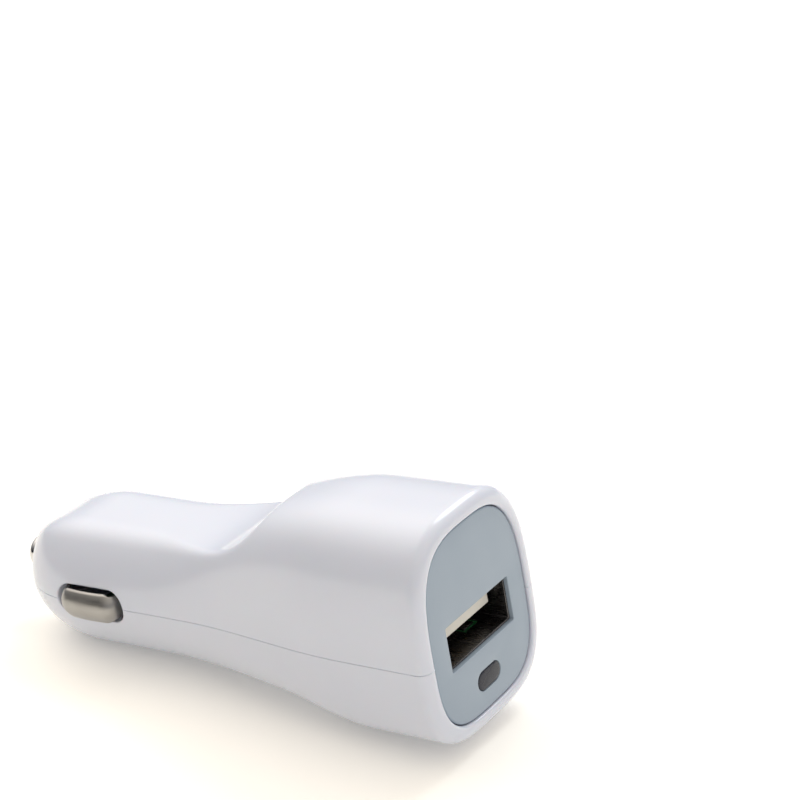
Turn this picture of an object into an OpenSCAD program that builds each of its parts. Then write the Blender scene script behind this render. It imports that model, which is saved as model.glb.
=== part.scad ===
// Car charger with one USB port. The plug goes into a 12 V car socket and the port faces the driver.
// Millimetres. The plug axis is X, the nose end of the housing is at x = 0, the port looks along +X,
// and the thumb rest is on top, at +Z. The two halves of the housing meet in the plane z = 0.

/* [Housing] */
// Length of the housing, from the flat of the nose to the rim round the port
body_l = 67; // [63:0.5:72]
// Width of the plug, which slides into a socket of about 21 mm
plug_w = 20.6; // [19.6:0.1:20.9]
// Width of the waist, between the plug and the grip
waist_w = 19.8; // [18.8:0.1:20.8]
// Greatest width of the grip
grip_w = 23.8; // [21.5:0.1:26]
// Height of the uncut grip above the plug axis
hump_h = 15.7; // [14:0.1:17]
// Depth of the grip's belly below the plug axis
belly_d = 12.3; // [11:0.1:14]
// Height of the flat on top of the plug
top_flat = 8.3; // [7.4:0.1:9]
// Depth of the flat under the plug
low_flat = 9.1; // [8.4:0.1:9.8]
// Length of the rounded nose
nose_l = 10.8; // [8:0.1:13]
// Radius of the flat ring round the tip
nose_flat_r = 3.3; // [3:0.1:4]
// Wall of the housing
wall = 1.7; // [1.2:0.1:2.2]
// Thickness of the nose, which the tip is stopped by
nose_wall = 2.2; // [1.8:0.1:3]
// Radius of the rounded edge round the port end
rim_r = 1.5; // [0.8:0.1:2]

/* [Thumb rest] */
// Distance from the nose to where the ramp of the thumb rest starts
ramp_start = 25; // [22:0.5:28]
// Length of the ramp, up to the crest
ramp_l = 18.4; // [16:0.1:24]
// Softness of the long edges of the plug's flats
edge_soft = 1.4; // [1:0.1:3]
// Softness of the edge round the thumb rest
rest_soft = 0.9; // [0.5:0.1:2]

/* [Face plate] */
// Distance from the edge of the housing to the plate
plate_inset = 2.1; // [1.8:0.1:3]
// Thickness of the plate
plate_t = 1.6; // [1.2:0.1:2.4]
// How far the plate lies below the rim
plate_sink = 0.3; // [0.2:0.1:0.8]
// Width of the seat behind the plate
seat_w = 0.8; // [0.5:0.1:1.2]
// Length of the window of the light
window_l = 4.7; // [3.6:0.1:6]
// Height of the window of the light
window_h = 2.4; // [2:0.1:3]
// Distance from the plate's lower edge up to the window's centre
window_rise = 3.8; // [3.4:0.1:4.1]

/* [USB port] */
// Height of the port's centre above the plug axis
port_z = 0.4; // [0:0.1:1]
// Width inside the port's shield
port_w = 12.5; // [12.5:0.1:12.6]
// Height inside the port's shield
port_h = 5.12; // [5.1:0.01:5.2]
// Sheet of the shield
shield_t = 0.25; // [0.2:0.05:0.4]
// How far the shield's end lies below the plate
shield_sink = 0.5; // [0:0.05:1]
// Length of the shield
shield_l = 13.4; // [12:0.1:15]
// Width of the tongue
tongue_w = 11.1; // [10.8:0.1:11.2]
// Thickness of the tongue
tongue_t = 1.84; // [1.7:0.01:2]
// Gap between the shield and the top of the tongue
tongue_gap = 0.72; // [0.6:0.01:0.8]
// How far the tongue's end lies below the plate
tongue_sink = 2.1; // [1.6:0.1:2.6]
// How much wider and higher than the shield the plate's opening is
mouth_clear = 0.1; // [0.1:0.05:0.4]

/* [Tip contact] */
// Diameter of the tip
tip_d = 4.7; // [4.2:0.1:5.2]
// How far the tip stands out of the nose
tip_out = 4; // [3.8:0.1:6]
// How far the tip is pushed in
tip_travel = 3.5; // [3:0.5:3.5]
// Diameter of the tip's flange
flange_d = 6.6; // [6:0.1:7]
// Thickness of the tip's flange
flange_t = 1.2; // [1:0.1:1.6]
// Length of the spring behind the flange, at rest
spring_l = 8.6; // [8:0.1:10]
// Wire of the spring
spring_wire = 0.5; // [0.4:0.05:0.6]

/* [Side contacts] */
// Distance from the nose to the middle of the slot
slot_x = 14.3; // [14:0.1:17]
// Length of the slot
slot_l = 10.9; // [10:0.1:11.4]
// Height of the slot
slot_h = 4.4; // [4:0.1:5.4]
// How far the contact stands out of the plug
contact_out = 1.2; // [1:0.1:1.6]
// Sheet of the contact
contact_t = 0.35; // [0.25:0.05:0.45]

/* [Circuit board] */
// Thickness of the board
board_t = 1.2; // [1:0.1:1.6]
// Width of the board between the side contacts
board_front_w = 12.8; // [12:0.1:13.2]
// Width of the board under the port
board_rear_w = 15.2; // [14.6:0.1:15.6]
// Diameter of the input capacitor's can
input_can_d = 6.3; // [5:0.1:6.6]
// Diameter of the output capacitor's can
output_can_d = 5; // [4:0.1:5.2]
// Height of the two cans
can_h = 7.2; // [5.5:0.1:7.6]
// Diameter of the inductor's drum
drum_d = 7.4; // [6:0.1:7.6]
// Height of the inductor's drum
drum_h = 5; // [4:0.1:6]

/* [Hidden] */

// Colours of the pieces
white = [0.95, 0.95, 0.96];
plate_grey = [0.62, 0.67, 0.70];
steel = [0.75, 0.75, 0.77];
board_green = [0.10, 0.42, 0.22];
chip_black = [0.12, 0.12, 0.13];
copper = [0.72, 0.42, 0.22];
can_silver = [0.80, 0.82, 0.84];

// Clearances
slide_clear = 0.15; // round the tip in its bore, and the flange in its guide
seat_clear = 0.12; // round a piece that is dropped into its seat
slot_clear = 0.25; // between a side contact and its slot
eps = 0.01;

// The housing's lengthwise curves
waist_x = 30;
grip_x = 55;
belly_start = 42.4;
belly_end = 55.7;
hump_start = 22;
hump_end = 53;
crest_rise = hump_h - top_flat - 0.15;
ramp_power = 4.1; // how late the ramp steepens
nose_power = 1.8; // superellipse power of the plug's section
grip_power = 3.15; // superellipse power of the grip's section
round_d = plug_w / 2; // the plug is round apart from its two flats
belly_cut = belly_d + 0.4; // the grip's belly keeps no more than a trace of a flat

function clamp(t) = min(1, max(0, t));
function ease(t) = let (u = clamp(t)) u * u * (3 - 2 * u);
function mix(a, b, t) = a + (b - a) * t;
function soft_min(a, b, k) = let (h = clamp(0.5 + 0.5 * (b - a) / k)) mix(b, a, h) - k * h * (1 - h);

function half_width(x) = x < waist_x
    ? mix(plug_w, waist_w, ease(x / waist_x)) / 2
    : mix(waist_w, grip_w, ease((x - waist_x) / (grip_x - waist_x))) / 2;
function top_round(x) = mix(round_d, hump_h, ease((x - hump_start) / (hump_end - hump_start)));
function top_cut(x) = top_flat + crest_rise * pow(max(0, x - ramp_start) / ramp_l, ramp_power);
function low_round(x) = mix(round_d, belly_d, ease((x - belly_start) / (belly_end - belly_start)));
function low_cut(x) = mix(low_flat, belly_cut, ease((x - belly_start) / (belly_end - belly_start)));
function power(x) = mix(nose_power, grip_power, ease((x - hump_start) / (grip_x - hump_start)));
function top_soft(x) = mix(edge_soft, rest_soft, ease((x - ramp_start + 6) / 14));

// One section of the housing: x, half width, uncut height, cut height, power and softness.
// A section further in is the same one, moved in by an inset.
function top_section(x, inset) =
    [half_width(x) - inset, top_round(x) - inset, top_cut(x) - inset, power(x), top_soft(x)];
function low_section(x, inset) =
    [half_width(x) - inset, low_round(x) - inset, low_cut(x) - inset, power(x), edge_soft];
function section(x, inset, top) = top ? top_section(x, inset) : low_section(x, inset);

// The nose closes on a flat ring: every size of the section shrinks to that ring's radius,
// and its outline to a circle
function nose_close(x, length) = sqrt(max(0, 1 - pow((length - min(x, length)) / length, 2)));
function shrink(s, r, c) = [mix(r, s[0], c), mix(r, s[1], c), mix(r, s[2], c), mix(2, s[3], c), s[4] * c + eps];

// A point of a section, at an angle from +Y over the top (or under the belly) to -Y
function spow(v, p) = sign(v) * pow(max(abs(v), 1e-9), p);
function rim_point(s, a) = [
    s[0] * spow(cos(a), 2 / s[3]),
    soft_min(s[1] * spow(sin(a), 2 / s[3]), s[2], s[4])
];

ARC = 22; // steps over half a section
NOSE = 7; // sections of the nose
MIDDLE = 19; // sections between the nose and the rim
RIM = 5; // sections of the rounded rim, and of the plate's seat inside it

seat_x = body_l - plate_sink - plate_t;
lip_x = seat_x - 1.2; // the seat is a lip of this thickness
lining_ring = 1.2; // how much wider than the outer one the inner flat of the nose is
pilot_r = 1; // the skin leaves this hole in the nose, which the tip's bore then opens

// A section of the housing anywhere along it, the nose included
function nose_section(x, inset, top) = let (
    front = inset > 0 ? nose_wall : 0,
    ring = nose_flat_r + (inset > 0 ? lining_ring : 0)
) shrink(section(nose_l, inset, top), ring, nose_close(x - front, nose_l - front));
function section_at(x, inset, top) = x < nose_l ? nose_section(x, inset, top) : section(x, inset, top);
function pilot(inset, top) = shrink(section(nose_l, inset, top), pilot_r, 0);

// The sections from the nose to the rim, as [x, section]. The outside and the inside have as many.
function outer_sections(top) = concat(
    [[0, pilot(0, top)]],
    [for (i = [0 : NOSE - 1]) let (x = nose_l * (1 - cos(90 * i / (NOSE - 1))))
        [x, nose_section(x, 0, top)]],
    [for (i = [1 : MIDDLE]) let (x = mix(nose_l, body_l - rim_r, i / MIDDLE))
        [x, section(x, 0, top)]],
    [for (i = [1 : RIM]) let (a = 90 * i / RIM)
        [body_l - rim_r * (1 - sin(a)), section(body_l, rim_r * (1 - cos(a)), top)]]
);
function inner_sections(top) = concat(
    [[nose_wall, pilot(wall, top)]],
    [for (i = [0 : NOSE - 1]) let (x = mix(nose_l, nose_wall, cos(90 * i / (NOSE - 1))))
        [x, nose_section(x, wall, top)]],
    [for (i = [1 : MIDDLE]) let (x = mix(nose_l, lip_x, i / MIDDLE))
        [x, section(x, wall, top)]],
    [[lip_x, section(body_l, plate_inset + seat_w, top)],
     [seat_x - 2 * eps, section(body_l, plate_inset + seat_w, top)],
     [seat_x - eps, section(body_l, plate_inset - seat_clear, top)],
     [mix(seat_x, body_l, 0.6), section(body_l, plate_inset - seat_clear, top)],
     [body_l, section(body_l, plate_inset - seat_clear, top)]]
);

// Half of the housing as one closed skin: the outside, the inside, the rim, the nose and the seam
module half_housing(top) {
    up = top ? 1 : -1;
    outside = outer_sections(top);
    inside = inner_sections(top);
    count = len(outside);
    row = ARC + 1;
    points = concat(
        [for (s = outside, k = [0 : ARC]) let (p = rim_point(s[1], 180 * k / ARC)) [s[0], p[0], up * p[1]]],
        [for (s = inside, k = [0 : ARC]) let (p = rim_point(s[1], 180 * k / ARC)) [s[0], p[0], up * p[1]]]
    );
    base = count * row;
    last = count - 1;
    skin = [for (i = [0 : last - 1], k = [0 : ARC - 1])
        each quad(i * row + k, (i + 1) * row + k, (i + 1) * row + k + 1, i * row + k + 1)];
    lining = [for (i = [0 : last - 1], k = [0 : ARC - 1])
        each quad(base + i * row + k, base + i * row + k + 1, base + (i + 1) * row + k + 1, base + (i + 1) * row + k)];
    rim = [for (k = [0 : ARC - 1])
        each quad(last * row + k, base + last * row + k, base + last * row + k + 1, last * row + k + 1)];
    nose = [for (k = [0 : ARC - 1])
        each quad(k, k + 1, base + k + 1, base + k)];
    seam = [for (i = [0 : last - 1])
        each concat(
            quad(i * row, base + i * row, base + (i + 1) * row, (i + 1) * row),
            quad(i * row + ARC, (i + 1) * row + ARC, base + (i + 1) * row + ARC, base + i * row + ARC))];
    faces = concat(skin, lining, rim, nose, seam);
    polyhedron(points, top ? faces : [for (f = faces) [f[2], f[1], f[0]]], convexity = 6);
}
function quad(a, b, c, d) = [[a, b, c], [a, c, d]];

// Places that several pieces share
tip_r = tip_d / 2;
flange_r = flange_d / 2;
flange_x = nose_wall + 0.05;
spring_x = flange_x + flange_t;
spring_end = spring_x + spring_l;
guide_r = flange_r + slide_clear;
guide_end = spring_x + tip_travel + 1;
board_top = port_z - port_h / 2 - shield_t;
board_low = board_top - board_t;
board_start = spring_end - 1;
board_end = seat_x - 0.9;
board_step_1 = 27.5;
board_step_2 = 46;
board_mid_w = (board_front_w + board_rear_w) / 2;
plate_face = body_l - plate_sink;
shield_outer_w = port_w + 2 * shield_t;
shield_outer_h = port_h + 2 * shield_t;
mouth_w = shield_outer_w + mouth_clear;
mouth_h = shield_outer_h + mouth_clear;
shield_x = plate_face - shield_sink - shield_l;
tongue_end = plate_face - tongue_sink;
tongue_top = port_z + port_h / 2 - tongue_gap;
tongue_low = tongue_top - tongue_t;
window_z = window_rise - (belly_d - plate_inset);
block_l = 3.2; // length of the solid block behind the tongue
lead_back = 1.2; // how far behind the shield the leads come down
slot_end = slot_x + slot_l / 2;
anchor_x = slot_end + 6; // where a side contact is held
anchor_y = 7.5;
strip_h = slot_h - 2 * slot_clear;
tail_h = 2.2; // height of a side contact's ends, inside the housing
contact_crown = 0.9; // how far the leaf's long edges lie behind its middle

// Height of the inside or the outside of a half at a place
function skin_at(x, y, inset, top) = let (s = section_at(x, inset, top))
    soft_min(s[1] * pow(max(0, 1 - pow(min(1, abs(y) / s[0]), s[3])), 1 / s[3]), s[2], s[4]);

// Places of the posts, bosses and ribs inside the housing
BOARD_POSTS = [
    [board_start + 4.5, board_front_w / 2 - 2],
    [board_step_1 + 6.5, board_mid_w / 2 - 2],
    [shield_x + 6.1, board_rear_w / 2 - 2]
];
boss_r = 1.25;
pin_r = 0.7;
PIN_PLACES = [[6, 6.1], [51, board_rear_w / 2 + boss_r + 0.05]];

// The converter's pieces stand in a row along the board, a gap apart
part_gap = 0.4;
tab_foot = 3; // length of the terminal's foot on the board
chip_l = 4.9;
chip_w = 3.9;
chip_span = chip_w + 2.1; // over the chip's feet
diode_w = 2.5;
chip_part_l = 2;
input_can_x = spring_end + tab_foot + 1.6 + input_can_d / 2;
output_can_x = shield_x - lead_back - part_gap - output_can_d / 2;
inductor_x = output_can_x - output_can_d / 2 - part_gap - drum_d / 2;
diode_x = inductor_x - drum_d / 2 - part_gap - diode_w / 2;
chip_x = diode_x - diode_w / 2 - part_gap - chip_l / 2;
small_part_w = 1.25;
side_part_y = chip_span / 2 + part_gap + small_part_w / 2; // the small parts beside the chip
BOARD_CLAMPS = [[inductor_x - 5, board_mid_w / 2 - 1.5]];
pin_l = 2.4;
root = 0.6; // how far a post or rib runs into the wall that carries it

module slot_shape() {
    hull() for (side = [-1, 1])
        translate([side * (slot_l - slot_h) / 2, 0]) circle(d = slot_h, $fn = 32);
}
module side_slot() {
    for (side = [-1, 1]) translate([slot_x, side * plug_w / 2, 0]) rotate([90, 0, 0])
        linear_extrude(height = 8, center = true) slot_shape();
}
module along_x(x, length) {
    translate([x, 0, 0]) rotate([0, 90, 0]) linear_extrude(height = length) children();
}
module tip_guide() {
    along_x(nose_wall - root, guide_end - nose_wall + root) difference() {
        circle(r = guide_r + 0.85, $fn = 48);
        circle(r = guide_r, $fn = 48);
    }
}
module tip_bore() {
    translate([-1, 0, 0]) rotate([0, 90, 0]) cylinder(r = tip_r + slide_clear, h = nose_wall + 2, $fn = 48);
}
module half_space(top) {
    translate([-5, -30, top ? 0 : -60]) cube([body_l + 10, 60, 60]);
}
module upright(x, y, r, from, to) {
    translate([x, y, min(from, to)]) cylinder(r = r, h = abs(to - from), $fn = 24);
}

// The upper half carries the pins, the clamps on the board and the ribs on the port
module upper_shell() {
    color(white) difference() {
        union() {
            half_housing(true);
            intersection() {
                tip_guide();
                half_space(true);
            }
            for (p = PIN_PLACES, side = [-1, 1]) {
                upright(p[0], side * p[1], boss_r, 0, skin_at(p[0], p[1], wall, true) + root);
                upright(p[0], side * p[1], pin_r - 0.05, -pin_l, 0.5);
            }
            for (p = BOARD_CLAMPS, side = [-1, 1])
                upright(p[0], side * p[1], 1, board_top, skin_at(p[0], p[1], wall, true) + root);
            for (x = [shield_x + 3, shield_x + 9]) {
                rib_z = port_z + port_h / 2 + shield_t;
                translate([x, -4, rib_z]) cube([1.2, 8, skin_at(x, 0, wall, true) + root - rib_z]);
            }
            contact_pads(true);
        }
        tip_bore();
        side_slot();
    }
}

// The lower half carries the board's posts and the sockets of the pins
module lower_shell() {
    color(white) difference() {
        union() {
            half_housing(false);
            intersection() {
                tip_guide();
                half_space(false);
            }
            for (p = PIN_PLACES, side = [-1, 1])
                upright(p[0], side * p[1], boss_r, 0, -skin_at(p[0], p[1], wall, false) - root);
            for (p = BOARD_POSTS, side = [-1, 1])
                upright(p[0], side * p[1], 1.2, board_low, -skin_at(p[0], p[1], wall, false) - root);
            contact_pads(false);
        }
        for (p = PIN_PLACES, side = [-1, 1])
            translate([p[0], side * p[1], -pin_l - 0.3]) cylinder(r = pin_r + 0.05, h = pin_l + 1, $fn = 24);
        tip_bore();
        side_slot();
    }
}

// A pad on the wall behind each side contact's anchor
module contact_pads(top) {
    pad_y = anchor_y + contact_t / 2 + 0.18;
    pad_h = tail_h / 2;
    for (side = [-1, 1])
        translate([anchor_x - 0.4, side > 0 ? pad_y : -pad_y - 1, top ? 0 : -pad_h]) cube([1.4, 1, pad_h]);
}

// Outline of the housing's end, moved in by an inset, as a closed list of [y, z]
function end_outline(inset) = concat(
    [for (k = [0 : ARC]) rim_point(top_section(body_l, inset), 180 * k / ARC)],
    [for (k = [1 : ARC - 1]) -rim_point(low_section(body_l, inset), 180 * k / ARC)]
);
// Turns a [y, z] outline into a plate along +X
module plate_along(x, length) {
    translate([x, 0, 0]) rotate([90, 0, 90]) linear_extrude(height = length) children();
}
module stadium(w, h) {
    hull() for (side = [-1, 1]) translate([side * (w - h) / 2, 0]) circle(d = h, $fn = 32);
}

module face_plate() {
    color(plate_grey) difference() {
        plate_along(seat_x, plate_t) polygon(end_outline(plate_inset));
        plate_along(seat_x - 1, plate_t + 2) translate([0, port_z])
            square([mouth_w, mouth_h], center = true);
        plate_along(seat_x - 1, plate_t + 2) translate([0, window_z])
            stadium(window_l + 0.1, window_h + 0.1);
    }
}

// The light's window, with a flange that seats behind the plate
module light_window() {
    color([0.30, 0.31, 0.35]) {
        plate_along(seat_x - 0.8, plate_t + 0.75) translate([0, window_z]) stadium(window_l, window_h);
        plate_along(seat_x - 0.8, 0.8) translate([0, window_z]) stadium(window_l + 1, window_h + 0.9);
    }
}

// Folded steel shield of the port, with spring fingers and four legs through the board
module usb_shield() {
    color(steel) difference() {
        union() {
            plate_along(shield_x, shield_l) translate([0, port_z]) difference() {
                square([shield_outer_w, shield_outer_h], center = true);
                square([port_w, port_h], center = true);
            }
            for (side = [-1, 1], x = [shield_x + 2, shield_x + 8.5])
                translate([x, side > 0 ? port_w / 2 : -shield_outer_w / 2, board_low - 0.6])
                    cube([1.4, shield_t, board_t + 1]);
        }
        for (side = [-1, 1], z = [port_z - shield_outer_h / 2, port_z + shield_outer_h / 2])
            translate([shield_x + 5.2, side * 3.2, z]) finger_gap();
    }
}
// The cut round one spring finger
module finger_gap() {
    difference() {
        translate([0, -1.5, -1]) cube([5, 3, 2]);
        translate([-1, -1, -2]) cube([5.5, 2, 4]);
    }
}

CONTACT_Y = [-3.5, -1, 1, 3.5];
lead_w = 1;
lead_t = 0.2;

// Tongue of the port and the block behind it, as one moulding with a channel for each lead.
// The tongue's end is bevelled at its corners and along its top.
module usb_tongue() {
    color([0.93, 0.91, 0.86]) difference() {
        union() {
            translate([shield_x + 0.4, -port_w / 2 + 0.05, port_z - port_h / 2 + 0.02])
                cube([block_l, port_w - 0.1, port_h - 0.04]);
            tongue_blade();
        }
        for (y = CONTACT_Y)
            translate([shield_x - 1, y - lead_w / 2 - 0.05, tongue_low - lead_t - 0.05])
                cube([block_l + 3, lead_w + 0.1, lead_t + 0.1]);
    }
}
module tongue_blade() {
    start = shield_x + 2;
    side = tongue_w / 2;
    corner = 0.6;
    corner_l = 1.5;
    bevel = 0.55;
    bevel_l = 0.7;
    intersection() {
        translate([0, 0, tongue_low]) linear_extrude(height = tongue_t) polygon([
            [start, -side], [tongue_end - corner_l, -side], [tongue_end, corner - side],
            [tongue_end, side - corner], [tongue_end - corner_l, side], [start, side]
        ]);
        translate([0, side + 1, 0]) rotate([90, 0, 0]) linear_extrude(height = tongue_w + 2) polygon([
            [start - 1, tongue_low - 1], [tongue_end + 1, tongue_low - 1], [tongue_end + 1, tongue_top - 2 * bevel],
            [tongue_end, tongue_top - bevel], [tongue_end - bevel_l, tongue_top], [start - 1, tongue_top + eps]
        ]);
    }
}

// A contact runs under the tongue, through the block and down into the board
module usb_contact(i) {
    low = tongue_low - lead_t;
    color("gold") translate([0, CONTACT_Y[i] - lead_w / 2, 0]) {
        translate([shield_x - lead_back, 0, low]) cube([tongue_end - 1 - shield_x + lead_back, lead_w, lead_t]);
        translate([shield_x - lead_back, 0, board_low - 0.5]) cube([lead_t, lead_w, low + lead_t - board_low + 0.5]);
    }
}

// Sprung tip of the plug, turned from one bar: rounded end, flange and spigot for the spring
module tip_contact() {
    edge = 0.9;
    color(steel) rotate([0, 90, 0]) rotate_extrude($fn = 48) polygon(concat(
        [[0, -tip_out]],
        [for (a = [0 : 15 : 90]) [tip_r - edge + edge * sin(a), -tip_out + edge - edge * cos(a)]],
        [[tip_r, flange_x], [flange_r, flange_x], [flange_r, spring_x],
         [1.5, spring_x], [1.5, spring_x + 0.9], [1.2, spring_x + 1.2], [0, spring_x + 1.2]]
    ));
}

// Coil spring between the tip's flange and the terminal on the board
module tip_spring() {
    coil_r = 2.1;
    turns = 6;
    steps = 14; // to a turn
    sides = 6;
    wire_r = spring_wire / 2;
    count = turns * steps;
    points = [for (i = [0 : count], k = [0 : sides - 1]) let (
        a = 360 * i / steps,
        b = 360 * k / sides,
        x = mix(spring_x + wire_r, spring_end - wire_r, i / count),
        r = coil_r + wire_r * cos(b)
    ) [x + wire_r * sin(b), r * cos(a), r * sin(a)]];
    faces = concat(
        [for (i = [0 : count - 1], k = [0 : sides - 1]) let (n = (k + 1) % sides)
            each quad(i * sides + k, (i + 1) * sides + k, (i + 1) * sides + n, i * sides + n)],
        [[for (k = [0 : sides - 1]) k], [for (k = [sides - 1 : -1 : 0]) count * sides + k]]
    );
    color(can_silver) polyhedron(points, faces, convexity = 10);
}

// Bent tab on the board that the spring presses on
module tip_terminal() {
    tab_t = 0.4;
    tab_w = flange_d - 0.8;
    color(steel) {
        translate([spring_end, -tab_w / 2, board_top]) cube([tab_t, tab_w, tab_w / 2 - board_top]);
        translate([spring_end, -tab_w / 2, board_top]) cube([tab_foot, tab_w, tab_t]);
    }
}

// Middle line of a side contact on the +Y side, from its free end to its anchor
function bow_line() = let (
    out_y = plug_w / 2 + contact_out - contact_t / 2,
    front = slot_x - slot_l / 2 + 0.95,
    back = slot_end - 0.85,
    bend = 1.6
) concat(
    [[front - 2.1, anchor_y + 0.15], [front - 0.7, anchor_y + 0.3], [front, anchor_y + 1.2]],
    [for (a = [10 : 20 : 90]) [front + 0.15 + bend * (1 - cos(a)) * 1.2, out_y - bend * (1 - sin(a))]],
    [for (t = [0.25 : 0.25 : 0.75]) [mix(front + 2.07, back - 2.07, t), out_y + 0.12 * sin(180 * t)]],
    [for (a = [90 : -20 : 10]) [back - 0.15 - bend * (1 - cos(a)) * 1.2, out_y - bend * (1 - sin(a))]],
    [[back, anchor_y + 1.2], [back + 0.15, anchor_y + 0.6], [back + 0.9, anchor_y + 0.15],
     [back + 1.8, anchor_y], [anchor_x + 1, anchor_y]]
);

// Half the leaf's height at x. Seen from the side it is a stadium, a little smaller than the slot,
// with a narrow tail at each end.
function leaf_reach(x) = let (
    r = strip_h / 2,
    along = max(abs(x - slot_x) - (slot_l - slot_h) / 2, 0)
) max(tail_h / 2, sqrt(max(0, r * r - along * along)));
// The leaf is crowned over its height, most where it is highest
function leaf_crown(x) = contact_crown * (leaf_reach(x) - tail_h / 2) / (strip_h - tail_h) * 2;
LEAF = 6; // steps over the leaf's height

// One side of the leaf's sheet, as rows of points
function leaf_points(line, gap) = [for (i = [0 : len(line) - 1], k = [0 : LEAF]) let (
    before = line[max(0, i - 1)],
    after = line[min(len(line) - 1, i + 1)],
    along = (after - before) / norm(after - before),
    t = 2 * k / LEAF - 1,
    drop = leaf_crown(line[i][0]) * t * t,
    p = line[i] + (gap - drop) * [-along[1], along[0]]
) [p[0], p[1], t * leaf_reach(line[i][0])]];

// Stamped leaf with a bow that stands out of its slot, and a foot on the board
module side_contact() {
    line = bow_line();
    foot_l = 2.6;
    row = LEAF + 1;
    last = len(line) - 1;
    base = (last + 1) * row;
    points = concat(leaf_points(line, contact_t / 2), leaf_points(line, -contact_t / 2));
    sheet = [for (i = [0 : last - 1], k = [0 : LEAF - 1]) let (a = i * row + k, b = a + row)
        each concat(quad(a, b, b + 1, a + 1), quad(base + a, base + a + 1, base + b + 1, base + b))];
    edges = [for (i = [0 : last - 1]) let (a = i * row, b = a + row)
        each concat(quad(a, base + a, base + b, b), quad(a + LEAF, b + LEAF, base + b + LEAF, base + a + LEAF))];
    ends = [for (k = [0 : LEAF - 1]) let (a = last * row + k)
        each concat(quad(k, k + 1, base + k + 1, base + k), quad(a, base + a, base + a + 1, a + 1))];
    color(steel) {
        polyhedron(points, concat(sheet, edges, ends), convexity = 6);
        translate([anchor_x + 1 - foot_l, anchor_y - contact_t / 2, board_top])
            cube([foot_l, contact_t, -board_top]);
        translate([anchor_x + 1 - foot_l, board_front_w / 2 - 1, board_top])
            cube([foot_l, anchor_y + contact_t / 2 - board_front_w / 2 + 1, contact_t]);
    }
}
module side_contact_left() {
    side_contact();
}
module side_contact_right() {
    mirror([0, 1, 0]) side_contact();
}

// Board, stepped to the housing's waist, with slots for the shield's legs and holes for the leads
module circuit_board() {
    front = board_front_w / 2;
    middle = board_mid_w / 2;
    rear = board_rear_w / 2;
    leg = 0.25; // clearance round a leg
    color(board_green) difference() {
        translate([0, 0, board_low]) linear_extrude(height = board_t) polygon([
            [board_start, -front], [board_step_1, -front], [board_step_1, -middle],
            [board_step_2, -middle], [board_step_2, -rear], [board_end, -rear],
            [board_end, rear], [board_step_2, rear], [board_step_2, middle],
            [board_step_1, middle], [board_step_1, front], [board_start, front]
        ]);
        for (side = [-1, 1], x = [shield_x + 2, shield_x + 8.5])
            translate([x - leg, side * (port_w + shield_t) / 2 - shield_t / 2 - leg, board_low - 1])
                cube([1.4 + 2 * leg, shield_t + 2 * leg, board_t + 2]);
        for (y = CONTACT_Y)
            translate([shield_x - lead_back + lead_t / 2, y, board_low - 1])
                cylinder(d = lead_w + 0.35, h = board_t + 2, $fn = 24);
        for (side = [-1, 1])
            translate([light_bend, side * light_pitch / 2, board_low - 1])
                cylinder(d = 0.95, h = board_t + 2, $fn = 24);
    }
}

// Round capacitor standing on the board, with a rolled groove and a dished top
module can_capacitor(x, d, h) {
    r = d / 2;
    groove_z = 1.3;
    color(can_silver) translate([x, 0, board_top]) rotate_extrude($fn = 48) polygon([
        [0, 0], [r - 0.3, 0], [r, 0.3], [r, groove_z - 0.4], [r - 0.3, groove_z],
        [r, groove_z + 0.4], [r, h - 0.4], [r - 0.4, h], [r - 0.8, h], [r - 0.9, h - 0.2], [0, h - 0.2]
    ]);
}
module input_capacitor() {
    can_capacitor(input_can_x, input_can_d, can_h);
}
module output_capacitor() {
    can_capacitor(output_can_x, output_can_d, can_h);
}

// Drum core and its winding
drum_r = drum_d / 2;
drum_flange = 0.9;
drum_waist_r = 1.9;
module inductor_core() {
    color([0.22, 0.22, 0.24]) translate([inductor_x, 0, board_top]) rotate_extrude($fn = 48) polygon([
        [0, 0], [drum_r, 0], [drum_r, drum_flange], [drum_waist_r, drum_flange],
        [drum_waist_r, drum_h - drum_flange], [drum_r, drum_h - drum_flange], [drum_r, drum_h], [0, drum_h]
    ]);
}
module inductor_winding() {
    wire = 0.5;
    turns = floor((drum_h - 2 * drum_flange) / wire);
    low = board_top + drum_flange;
    high = board_top + drum_h - drum_flange;
    pitch = (high - low) / turns;
    color(copper) translate([inductor_x, 0, 0]) rotate_extrude($fn = 48) polygon(concat(
        [[drum_waist_r, high], [drum_waist_r, low]],
        [for (i = [0 : turns - 1], a = [0 : 45 : 135])
            [drum_r - 0.75 + 0.22 * sin(a), low + pitch * (i + a / 180)]],
        [[drum_r - 0.75, high]]
    ));
}

// Eight-legged converter chip
module converter_chip() {
    body = [chip_l, chip_w, 1.4];
    foot_l = 0.8;
    pitch = 1.27;
    foot = 0.2;
    translate([chip_x, 0, board_top]) {
        color(chip_black) translate([-body[0] / 2, -body[1] / 2, foot]) cube(body);
        color(steel) for (i = [-1.5 : 1.5], side = [-1, 1]) translate([i * pitch - 0.2, 0, 0]) {
            translate([0, side > 0 ? chip_span / 2 - foot_l : -chip_span / 2, 0]) cube([0.4, foot_l, foot]);
            translate([0, side > 0 ? chip_w / 2 - 0.05 : -chip_w / 2 - 0.45, foot - eps]) cube([0.4, 0.5, 0.7]);
        }
    }
}

// Moulded diode with a tab at each end
module flyback_diode() {
    translate([diode_x, 0, board_top]) {
        color(chip_black) translate([-diode_w / 2, -2.1, 0.1]) cube([diode_w, 4.2, 2.1]);
        color(steel) for (side = [-1, 1]) translate([-0.75, side > 0 ? 1.6 : -2.6, 0]) cube([1.5, 1, 0.6]);
    }
}

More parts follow.
